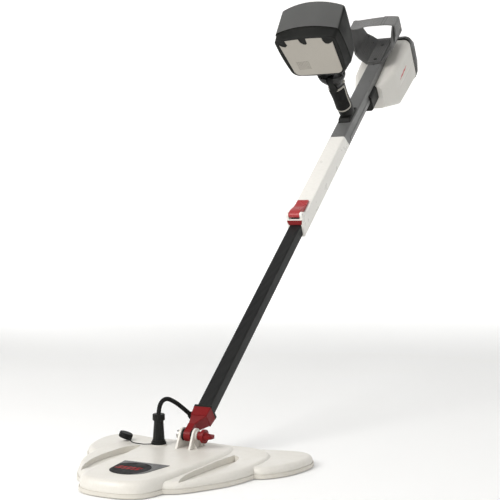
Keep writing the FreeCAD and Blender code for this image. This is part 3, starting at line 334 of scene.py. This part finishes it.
def along(s, place, direction):
    """How far the shaded point lies from a place along a direction, in metres."""
    away = s.add("ShaderNodeVectorMath", operation="SUBTRACT")
    s.put(away.inputs[0], s.coords.outputs["Object"])
    away.inputs[1].default_value = place
    dot = s.add("ShaderNodeVectorMath", operation="DOT_PRODUCT")
    s.put(dot.inputs[0], away.outputs["Vector"])
    dot.inputs[1].default_value = direction
    return dot.outputs["Value"]


def between(s, value, low, high, soft):
    """1 where the value lies between low and high, with soft flanks."""
    return s.math("MULTIPLY", s.ramp(value, low - soft, low + soft), s.ramp(value, high + soft, high - soft))


def surface_plastic(s, tone, rough, grain, grain_depth, edge, more_height=None, **constants):
    """The shared end of a moulded surface: uneven gloss, fine grain, rounded edges."""
    gloss = s.ramp(s.noise(26.0, 4.0), 0.3, 0.7, rough - 0.08, rough + 0.08)
    height = s.noise(grain, 2.0, 0.6)
    normal = s.bump(height, 0.55, grain_depth, round_edges=edge)
    if more_height is not None:
        normal = s.bump(more_height, 0.9, 0.0012, under=normal)
    return s.finish(tone, gloss, normal, **constants)


BOX_MARK_U = (1.286, 1.352)    # metres up the shaft from the pivot
BOX_MARK_N = -0.0445           # metres off the shaft's axis
BOX_SIDE = (0.045, 0.047)      # the marks stand on what lies further left than this
BOX_RIB_N = -0.0585
BOX_RIB_HALF = 0.0035
BOX_RIB_START = (1.272, 1.288)


def box_plastic():
    """Warm white moulding with a plain red streak and a long raised rib on the operator's left side; the
    rib's face is painted lighter as a painted highlight, with a darker line of painted shade below it.
    """
    s = Shader("white_plastic")
    colour = (0.72, 0.70, 0.655)
    tone = s.mix(s.ramp(s.noise(9.0, 4.0), 0.3, 0.7), scaled(colour, 0.975), scaled(colour, 1.025))
    speckle = s.ramp(s.noise(360.0, 2.0), 0.4, 0.75, 0.0, 0.25)
    tone = s.mix(speckle, tone, scaled(colour, 0.9))
    worn = s.math("MULTIPLY", s.edges(0.0012), s.ramp(s.noise(140.0, 5.0), 0.42, 0.68))
    tone = s.mix(s.math("MULTIPLY", worn, 0.4), tone, (0.5, 0.47, 0.42))
    grime = s.ramp(s.noise(34.0, 6.0, 0.7), 0.52, 0.75, 0.0, 0.3)
    tone = s.mix(grime, tone, (0.64, 0.61, 0.55))
    up = along(s, PIVOT, UP_SHAFT)
    off = along(s, PIVOT, OFF_SHAFT)
    left = s.ramp(along(s, Vector((0, 0, 0)), Vector((0, 1, 0))), *BOX_SIDE)
    middle = (BOX_MARK_U[0] + BOX_MARK_U[1]) / 2
    share = s.math("DIVIDE", s.math("SUBTRACT", up, middle), (BOX_MARK_U[1] - BOX_MARK_U[0]) / 2)
    slope = s.math("MULTIPLY", share, 0.0025)
    sway = s.math("MULTIPLY", s.math("SINE", s.math("MULTIPLY", share, 9.0)), 0.0007)
    line = s.math("ADD", s.math("ADD", slope, sway), BOX_MARK_N)
    off_line = s.math("ABSOLUTE", s.math("SUBTRACT", off, line))
    taper = s.ramp(s.math("ABSOLUTE", share), 1.0, 0.4, 0.0006, 0.0030)
    streak = s.math("MULTIPLY", s.ramp(s.math("SUBTRACT", off_line, taper), 0.0002, -0.0002),
                    s.ramp(s.math("ABSOLUTE", share), 1.0, 0.97))
    tone = s.mix(s.math("MULTIPLY", s.math("MULTIPLY", streak, left), 0.9), tone, (0.55, 0.045, 0.05))
    # the rib's face is painted lighter, a painted highlight on its raised top; the same mask also drives the
    # rib's bump
    rib_bump_and_highlight = between(s, off, BOX_RIB_N - BOX_RIB_HALF, BOX_RIB_N + BOX_RIB_HALF, 0.0018)
    rib_bump_and_highlight = s.math("MULTIPLY", rib_bump_and_highlight, left)
    rib_bump_and_highlight = s.math("MULTIPLY", rib_bump_and_highlight, s.ramp(up, *BOX_RIB_START))
    tone = s.mix(s.math("MULTIPLY", rib_bump_and_highlight, 0.35), tone, (0.86, 0.845, 0.80))
    # a darker line just below the rib: painted shade under it
    under = s.math("MULTIPLY", between(s, off, BOX_RIB_N - 0.0075, BOX_RIB_N - 0.0055, 0.001), left)
    under = s.math("MULTIPLY", under, s.ramp(up, *BOX_RIB_START))
    tone = s.mix(s.math("MULTIPLY", under, 0.35), tone, (0.5, 0.48, 0.43))
    return surface_plastic(s, tone, 0.42, 800.0, 0.00006, 0.0012, rib_bump_and_highlight, Specular_IOR_Level=0.4)


SCREEN_DIR = Vector((-0.545, 0, 0.838)).normalized()
UP_SCREEN = Vector((SCREEN_DIR.z, 0, -SCREEN_DIR.x))
HOOD_LIP = 0.0255              # where the overhanging top starts, from the back panel towards the operator


def hood_plastic():
    """Near-black grained moulding; its overhanging top wall is painted lighter where it faces up, as painted
    light from above.
    """
    s = Shader("housing_plastic")
    dark = (0.0095, 0.01, 0.009)
    # the lighter colour is painted light, for the up-facing top wall
    light = (0.10, 0.101, 0.099)
    low, high = (Vector(corner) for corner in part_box("back_panel"))
    out = along(s, (low + high) / 2, SCREEN_DIR)
    facing = s.add("ShaderNodeVectorMath", operation="DOT_PRODUCT")
    s.put(facing.inputs[0], s.coords.outputs["Normal"])
    facing.inputs[1].default_value = UP_SCREEN
    # painted light: faces turned up, beyond the lip, take the lighter colour as if lit from above
    top = s.math("MULTIPLY", s.ramp(facing.outputs["Value"], 0.55, 0.8),
                 s.ramp(out, HOOD_LIP - 0.0005, HOOD_LIP + 0.0005))
    tone = s.mix(top, dark, light)
    cloudy = s.ramp(s.noise(8.0, 4.0), 0.3, 0.7, 0.0, 0.14)
    tone = s.mix(cloudy, tone, (0.02, 0.02, 0.0195))
    worn = s.math("MULTIPLY", s.edges(0.0012), s.ramp(s.noise(140.0, 5.0), 0.42, 0.68))
    tone = s.mix(s.math("MULTIPLY", worn, 0.4), tone, (0.14, 0.14, 0.136))
    return surface_plastic(s, tone, 0.5, 1000.0, 0.0001, 0.0012, Specular_IOR_Level=0.15)


MATERIALS = {
    "coil_plastic": plastic(
        "coil_plastic", (0.74, 0.715, 0.66), 0.4, grain=700.0, grain_depth=0.00007, cloud=6.0, spread=0.025,
        wear=(0.52, 0.48, 0.41), dirt=(0.66, 0.625, 0.56), edge=0.0012, scuffs=0.12,
        Specular_IOR_Level=0.5),
    "cover_plastic": plastic(
        "cover_plastic", (0.68, 0.65, 0.585), 0.5, grain=500.0, grain_depth=0.0001, spread=0.06,
        wear=(0.50, 0.46, 0.39), dirt=(0.60, 0.56, 0.49), edge=0.001, scuffs=0.2, Specular_IOR_Level=0.3),
    "white_sleeve": plastic(
        "white_sleeve", (0.88, 0.862, 0.815), 0.3, grain=350.0, grain_depth=0.00002, spread=0.015,
        wear=(0.55, 0.53, 0.48), edge=0.0011, scuffs=0.1, rough_spread=0.05, Coat_Weight=0.2,
        Coat_Roughness=0.2),
    "white_plastic": box_plastic(),
    "grey_tube": plastic(
        "grey_tube", (0.13, 0.131, 0.129), 0.36, grain=420.0, grain_depth=0.00003, spread=0.06,
        wear=(0.26, 0.26, 0.25), edge=0.0011, scuffs=0.15, Coat_Weight=0.1, Coat_Roughness=0.3),
    "red_plastic": plastic(
        "red_plastic", (0.195, 0.007, 0.0085), 0.38, grain=800.0, grain_depth=0.00004, spread=0.08,
        wear=(0.28, 0.028, 0.028), edge=0.0008, scuffs=0.1, Specular_IOR_Level=0.2),
    "dark_plastic": plastic(
        "dark_plastic", (0.011, 0.0115, 0.0105), 0.42, grain=950.0, grain_depth=0.00007, spread=0.12,
        wear=(0.05, 0.05, 0.048), dirt=(0.018, 0.0175, 0.016), edge=0.0007, Specular_IOR_Level=0.18),
    "housing_plastic": hood_plastic(),
    "panel_plastic": plastic(
        "panel_plastic", (0.42, 0.395, 0.35), 0.55, grain=900.0, grain_depth=0.00007, spread=0.03,
        wear=(0.5, 0.47, 0.42), edge=0.0006, scuffs=0.1, Specular_IOR_Level=0.3),
    "dark_rubber": ribbed_rubber(),
    "steel": metal("steel", (0.52, 0.52, 0.51), 0.34),
    "copper": winding_wire(),
    "board": circuit_board(),
    "badge": badge_decal(),
    "black_tube": tube_black(),
    "webbing": webbing("webbing", False),
    "webbing_end": webbing("webbing_end", True),
    # darker copy of the foam for the dimples' floors: painted shade in the hollows
    "foam_dimple_shade": plastic(
        "foam_dimple_shade", (0.03, 0.03, 0.03), 0.9, grain=1500.0, grain_depth=0.00012, spread=0.2,
        dirt=(0.045, 0.044, 0.04), edge=0.0003, Specular_IOR_Level=0.1),
    "gloss_black": plastic(
        "gloss_black", (0.011, 0.0115, 0.0105), 0.26, grain=700.0, grain_depth=0.00003, spread=0.1,
        wear=(0.05, 0.05, 0.048), edge=0.001, rough_spread=0.06, Specular_IOR_Level=0.5),
    "foam": plastic(
        "foam", (0.135, 0.135, 0.133), 0.85, grain=1500.0, grain_depth=0.00012, spread=0.2,
        dirt=(0.15, 0.148, 0.14), edge=0.0003, Specular_IOR_Level=0.2),
    "lever_plastic": plastic(
        "lever_plastic", (0.42, 0.035, 0.038), 0.32, grain=800.0, grain_depth=0.00003, spread=0.06,
        wear=(0.5, 0.09, 0.09), edge=0.0012, scuffs=0.1, Specular_IOR_Level=0.5),
    "rail_plastic": plastic(
        "rail_plastic", (0.20, 0.20, 0.198), 0.36, grain=500.0, grain_depth=0.00004, spread=0.08,
        wear=(0.34, 0.34, 0.33), edge=0.0009, scuffs=0.15, Specular_IOR_Level=0.6),
    "cuff_plastic": plastic(
        "cuff_plastic", (0.086, 0.086, 0.084), 0.5, grain=900.0, grain_depth=0.00008, spread=0.1,
        wear=(0.13, 0.13, 0.127), dirt=(0.08, 0.078, 0.072), edge=0.0008, Specular_IOR_Level=0.25),
    "screen_panel": screen_face(),
    "glass": clear_window(),
}

# pieces whose finish in the photograph differs from the other pieces of their material slot
OWN_FINISH = {"arm_cuff": "cuff_plastic", "lock_lever": "lever_plastic", "side_rails": "rail_plastic",
              "display_neck": "gloss_black"}

for part in record["subparts"]:
    finish = MATERIALS[OWN_FINISH.get(part["node"], part["material_slot"])]
    for slot in nodes[part["node"]].material_slots:
        slot.material = finish


# ---- pieces --------------------------------------------------------------------------------------------


def add_mesh(name, points, faces, finish, uvs=None):
    mesh = bpy.data.meshes.new(name)
    mesh.from_pydata([tuple(p) for p in points], [], faces)
    mesh.update()
    if uvs:
        layer = mesh.uv_layers.new(name="UVMap")
        for loop in mesh.loops:
            layer.data[loop.index].uv = uvs[loop.vertex_index]
    for polygon in mesh.polygons:
        polygon.use_smooth = True
    obj = bpy.data.objects.new(name, mesh)
    bpy.context.scene.collection.objects.link(obj)
    obj.data.materials.append(finish)
    return obj


def add_cord(name, route, diameter, finish):
    """A round cord on a smooth curve whose control points are the route."""
    curve = bpy.data.curves.new(name, "CURVE")
    curve.dimensions = "3D"
    curve.bevel_depth = diameter / 2
    curve.bevel_resolution = 6
    curve.resolution_u = 16
    curve.use_fill_caps = True
    line = curve.splines.new("NURBS")
    line.points.add(len(route) - 1)
    for point, place in zip(line.points, route):
        point.co = (*place, 1.0)
    line.order_u = 3
    line.use_endpoint_u = True
    obj = bpy.data.objects.new(name, curve)
    bpy.context.scene.collection.objects.link(obj)
    curve.materials.append(finish)
    return obj


# coil cable and the dust cap's tether
CABLE_D = 0.008
cable_route = [on_ground(8, -58.5, 82.5), on_ground(7.5, -58, 99.0), on_ground(-6, -52, 109.5),
               on_ground(-22, -42, 100), on_ground(-34, -33, 88), on_ground(-44.5, -24.5, 76)]
cable = add_cord("coil_lead", cable_route, CABLE_D, MATERIALS["dark_rubber"])
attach(cable, "coil")
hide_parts("coil_cable")

TETHER_D = 0.0018
tether_route = [on_ground(20.5, -63, 30.5), on_ground(25, -75, 29.0), on_ground(22, -91, 28.4),
                on_ground(15, -106, 27.0), on_ground(6, -119, 27.0), on_ground(-3.4, -131.0, 31.0)]
tether = add_cord("cap_tether", tether_route, TETHER_D, MATERIALS["dark_rubber"])
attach(tether, "coil")
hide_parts("dust_cap_tether")

# strap: woven webbing over the cuff's walls, its free end folded back on itself and closed on the left
STRAP_U = (1311.0, 1358.0)
STRAP_COLUMNS = 20


def smooth_path(points, steps):
    """Points on a smooth curve through the given ones."""
    out = []
    ends = [points[0] * 2 - points[1]] + points + [points[-1] * 2 - points[-2]]
    for a, b, c, d in zip(ends, ends[1:], ends[2:], ends[3:]):
        for step in range(steps):
            t = step / steps
            out.append(0.5 * ((2 * b) + (c - a) * t + (2 * a - 5 * b + 4 * c - d) * t ** 2
                              + (3 * b - a - 3 * c + d) * t ** 3))
    out.append(points[-1])
    return out


def ribbon(name, section, thickness, finish, twist):
    """A strap as wide as STRAP_U that follows a section of (n, y) points."""
    path = smooth_path([Vector(p) for p in section], 10)
    lengths = [0.0]
    for a, b in zip(path, path[1:]):
        lengths.append(lengths[-1] + (b - a).length)
    points, uvs = [], []
    for place, run in zip(path, lengths):
        for column in range(STRAP_COLUMNS + 1):
            across = column / STRAP_COLUMNS
            edge_roll = 0.25 * math.cos(across * 2 * math.pi)
            ripple = (0.35 * math.sin(run * 0.11 + across * 2.2)
                      + twist * (across - 0.5) * math.sin(run * 0.05))
            u = STRAP_U[0] + (STRAP_U[1] - STRAP_U[0]) * across
            points.append(on_shaft(place.x + ripple + edge_roll, place.y, u))
            uvs.append((run * MM, across * (STRAP_U[1] - STRAP_U[0]) * MM))
    row = STRAP_COLUMNS + 1
    faces = [(r * row + c, r * row + c + 1, (r + 1) * row + c + 1, (r + 1) * row + c)
             for r in range(len(path) - 1) for c in range(STRAP_COLUMNS)]
    obj = add_mesh(name, points, faces, finish, uvs)
    solid = obj.modifiers.new("thickness", "SOLIDIFY")
    solid.thickness = thickness
    solid.offset = 0.0
    bevel = obj.modifiers.new("soft edge", "BEVEL")
    bevel.width = thickness * 0.3
    bevel.segments = 2
    return obj


STRAP_SECTION = [(72, -58.0), (84, -60.0), (94, -61.6), (98.4, -61.6), (99.8, -57.0), (98.8, -48),
                 (99.0, -38), (100.8, -24), (102.4, -8), (102.8, 10), (102.4, 28), (101.6, 44), (99.9, 56),
                 (97.8, 61.0), (92, 61.4), (70, 58.4), (50, 54.9)]
TAIL_SECTION = [(104.1, 26), (103.6, 36), (102.9, 46), (101.3, 57), (99.2, 62.6), (94, 63.4), (80, 62.4),
                (66, 60.4)]
strap = ribbon("cuff_strap", STRAP_SECTION, 0.0016, MATERIALS["webbing"], twist=1.2)
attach(strap, "cuff")
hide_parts("arm_strap")
tail = ribbon("strap_tail", TAIL_SECTION, 0.0015, MATERIALS["webbing_end"], twist=0.6)
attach(tail, "cuff")

# dimpled foam pad in the cuff's floor
PAD_HALF = 18.8
PAD_U = (1277.0, 1394.0)
PAD_BASE = 16.75
PAD_TOP = 18.2
PAD_STEP = 0.65
DIMPLE_PITCH = 5.4
DIMPLE_R = 1.75
DIMPLE_DEPTH = 1.15
SCREW_U = (1290.0, 1366.0)
SCREW_ROOM = 5.4               # the pad is pressed flat this far round a screw


def dimple(y, u):
    """How deep the pad's nearest dimple is at a place, its dimples in staggered rows."""
    row = round(u / (DIMPLE_PITCH * 0.866))
    shift = 0.5 * DIMPLE_PITCH * (row % 2)
    centre_u = row * DIMPLE_PITCH * 0.866
    centre_y = round((y - shift) / DIMPLE_PITCH) * DIMPLE_PITCH + shift
    away = math.hypot(y - centre_y, u - centre_u)
    if away > DIMPLE_R:
        return 0.0
    return DIMPLE_DEPTH * (1 - (away / DIMPLE_R) ** 2)


def foam_pad():
    """A closed pad with rounded rims, dimples over its top and two flat seats for the screws; the dimples'
    floors take a darker copy of the foam as painted shade.
    """
    across = int(2 * PAD_HALF / PAD_STEP)
    lengthwise = int((PAD_U[1] - PAD_U[0]) / PAD_STEP)
    points = []
    for i in range(lengthwise + 1):
        for j in range(across + 1):
            y = -PAD_HALF + 2 * PAD_HALF * j / across
            u = PAD_U[0] + (PAD_U[1] - PAD_U[0]) * i / lengthwise
            rim = min(PAD_HALF - abs(y), u - PAD_U[0], PAD_U[1] - u)
            n = PAD_TOP - 0.9 * max(0.0, 1 - rim / 1.4) ** 2
            at_screw = min(math.hypot(y, u - screw) for screw in SCREW_U)
            if rim > 2.5 and at_screw > 7.5:
                n -= dimple(y, u)
            if at_screw < SCREW_ROOM:
                n = PAD_BASE + 0.1
            points.append(on_shaft(n, y, u))
    row = across + 1
    faces = [(i * row + j, i * row + j + 1, (i + 1) * row + j + 1, (i + 1) * row + j)
             for i in range(lengthwise) for j in range(across)]
    border = (list(range(row)) + [i * row + across for i in range(1, lengthwise + 1)]
              + [lengthwise * row + j for j in range(across - 1, -1, -1)]
              + [i * row for i in range(lengthwise - 1, 0, -1)])
    floor = []
    for index in border:
        floor.append(len(points))
        points.append(points[index] - OFF_SHAFT * ((points[index] - PIVOT).dot(OFF_SHAFT) - PAD_BASE * MM))
    for k in range(len(border)):
        following = (k + 1) % len(border)
        faces.append((border[k], floor[k], floor[following], border[following]))
    faces.append(tuple(reversed(floor)))
    pad = add_mesh("cuff_foam", points, faces, MATERIALS["foam"])
    # the sunk dimple faces take the darker copy of the foam: painted shade in the hollows
    pad.data.materials.append(MATERIALS["foam_dimple_shade"])
    for polygon in pad.data.polygons:
        middle = polygon.center - PIVOT
        u = middle.dot(UP_SHAFT) / MM
        y = polygon.center.y / MM
        sunk = PAD_TOP - middle.dot(OFF_SHAFT) / MM > 0.35
        if sunk and dimple(y, u) > 0.3:
            polygon.material_index = 1
    return pad


foam = foam_pad()
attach(foam, "cuff")
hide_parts("cuff_pad")

# ---- floor, light and camera ---------------------------------------------------------------------------

CAMERA_YAW = 0.455             # from the shaft's plane towards the operator's left
GLOW = 0.08                    # how much light the floor gives off everywhere
BACKDROP_GLOW = 0.36           # and how much more behind the object, far out
BACKDROP_SECTOR = (0.62, 0.86)  # cosines from the camera's line between which that light comes in
BACKDROP_REACH = (0.9, 2.6)    # metres out between which it comes in


def studio_floor():
    """Plain pale floor that glows a little behind the object, so that the backdrop comes out white."""
    s = Shader("studio_floor")
    tone = s.mix(s.ramp(s.noise(1.2), 0.3, 0.7), (0.90, 0.90, 0.895), (0.93, 0.93, 0.925))
    parts = s.split(s.coords.outputs["Object"])
    reach = s.math("SQRT", s.math("ADD", s.math("POWER", parts[0], 2.0), s.math("POWER", parts[1], 2.0)))
    behind = along(s, Vector((0, 0, 0)), Vector((-math.cos(CAMERA_YAW), -math.sin(CAMERA_YAW), 0)))
    sector = s.ramp(s.math("DIVIDE", behind, reach), *BACKDROP_SECTOR)
    glow = s.math("MULTIPLY", sector, s.ramp(reach, *BACKDROP_REACH, 0.0, BACKDROP_GLOW))
    glow = s.math("ADD", glow, GLOW)
    s.put(s.bsdf.inputs["Emission Color"], tone)
    s.put(s.bsdf.inputs["Emission Strength"], glow)
    return s.finish(tone, 0.6, Specular_IOR_Level=0.1)


FLOOR_HALF = 3.2
SWEEP = 1.2                    # radius of the curve up to the wall
WALL_TOP = 4.5
SWEEP_RINGS = 40
SWEEP_SIDES = 96


def studio_sweep():
    """A floor that curves up behind and all round, so no horizon shows."""
    profile = [(0.02, 0.0), (FLOOR_HALF, 0.0)]
    for step in range(1, SWEEP_RINGS + 1):
        turn = math.pi / 2 * step / SWEEP_RINGS
        profile.append((FLOOR_HALF + SWEEP * math.sin(turn), SWEEP * (1 - math.cos(turn))))
    profile.append((FLOOR_HALF + SWEEP, WALL_TOP))
    centre = Vector((0.1, 0, GROUND_Z))
    points = []
    for radius, height in profile:
        for side in range(SWEEP_SIDES):
            turn = 2 * math.pi * side / SWEEP_SIDES
            points.append(centre + Vector((radius * math.cos(turn), radius * math.sin(turn), height)))
    faces = []
    for ring in range(len(profile) - 1):
        low, high = ring * SWEEP_SIDES, (ring + 1) * SWEEP_SIDES
        for side in range(SWEEP_SIDES):
            following = (side + 1) % SWEEP_SIDES
            faces.append((low + side, low + following, high + following, high + side))
    faces.append(tuple(range(SWEEP_SIDES - 1, -1, -1)))
    return add_mesh("studio_sweep", points, faces, studio_floor())


studio_sweep()

AMBIENT = 0.34
world = bpy.data.worlds.new("studio")
world.use_nodes = True
background = next(n for n in world.node_tree.nodes if n.type == "BACKGROUND")
background.inputs["Color"].default_value = (1.0, 1.0, 1.0, 1.0)
background.inputs["Strength"].default_value = AMBIENT
bpy.context.scene.world = world


# name, place, target, size, watts, colour: the key stands ahead of the coil, a little to the right
SOFTBOXES = [
    ("key", (2.5, -0.8, 1.0), (0.2, 0.0, -0.3), (1.5, 1.5), 48.0, (1.0, 0.985, 0.965)),
    ("fill", (1.2, 2.4, 0.9), (0.1, 0.0, -0.2), (1.6, 1.2), 4.0, (0.97, 0.985, 1.0)),
    ("top", (0.1, 0.0, 2.3), (0.1, 0.0, 0.0), (2.0, 2.0), 9.0, (1.0, 1.0, 1.0)),
]
for name, place, target, size, power, colour in SOFTBOXES:
    light = bpy.data.lights.new(name, "AREA")
    light.shape = "RECTANGLE"
    light.size, light.size_y = size
    light.energy = power
    light.color = colour
    softbox = bpy.data.objects.new(name, light)
    softbox.location = place
    softbox.rotation_euler = (Vector(target) - Vector(place)).to_track_quat("-Z", "Y").to_euler()
    bpy.context.scene.collection.objects.link(softbox)

bpy.context.scene.view_settings.view_transform = "Standard"

CAMERA_AT = Vector((2.29249, 0.87231, -0.32207))
CAMERA_PITCH = -0.018
CAMERA_LENS = 72.16            # millimetres, on a 36 mm sensor
camera = bpy.data.cameras.new("camera")
camera.lens = CAMERA_LENS
camera.sensor_width = 36.0
camera.clip_end = 50.0
camera_object = bpy.data.objects.new("camera", camera)
looking = Vector((-math.cos(CAMERA_YAW) * math.cos(CAMERA_PITCH),
                  -math.sin(CAMERA_YAW) * math.cos(CAMERA_PITCH), math.sin(CAMERA_PITCH)))
camera_object.location = CAMERA_AT
camera_object.rotation_euler = looking.to_track_quat("-Z", "Y").to_euler()
bpy.context.scene.collection.objects.link(camera_object)
bpy.context.scene.camera = camera_object
